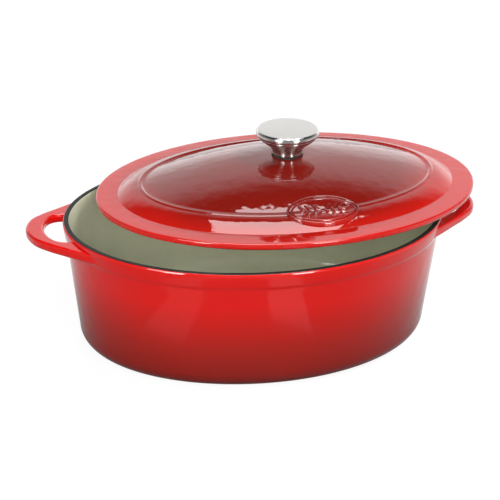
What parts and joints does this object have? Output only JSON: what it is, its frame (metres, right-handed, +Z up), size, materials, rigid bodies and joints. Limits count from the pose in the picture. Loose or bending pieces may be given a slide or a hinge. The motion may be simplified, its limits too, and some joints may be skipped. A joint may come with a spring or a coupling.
{
  "type": "oval dutch oven",
  "caption": "Oval enamelled cast-iron pot with loop handles at both ends and a domed lid with a steel knob, set down askew on the rim; for slow cooking on a hob or in an oven.",
  "frame": {"origin": "middle of the pot's flat underside, on the surface it stands on", "axes": "+X along the oval's long axis towards the right handle, -Y to the front where the lid's medallion is, +Z up"},
  "size_m": [0.3633, 0.2444, 0.1644],
  "materials": {
    "red_enamel_iron": "glossy red vitreous enamel outside, cream enamel inside, dark matt enamel on the rim",
    "stainless": "satin top face, polished edge and neck",
    "zinc_steel": "zinc plated",
    "gasket": "matt black"
  },
  "bodies": {
    "pot": {"pot": "red_enamel_iron"},
    "lid": {"lid": "red_enamel_iron", "knob_cap": "stainless", "knob_stem": "stainless", "knob_boss": "zinc_steel", "knob_gasket": "gasket", "knob_screw": "zinc_steel", "screw_washer": "zinc_steel", "lock_washer": "zinc_steel"}
  },
  "joints": [
    {"name": "lid_lift", "type": "slide", "parent": "pot", "child": "lid", "axis": [0, 0, 1], "range_m": [0, 0.15]}
  ]
}
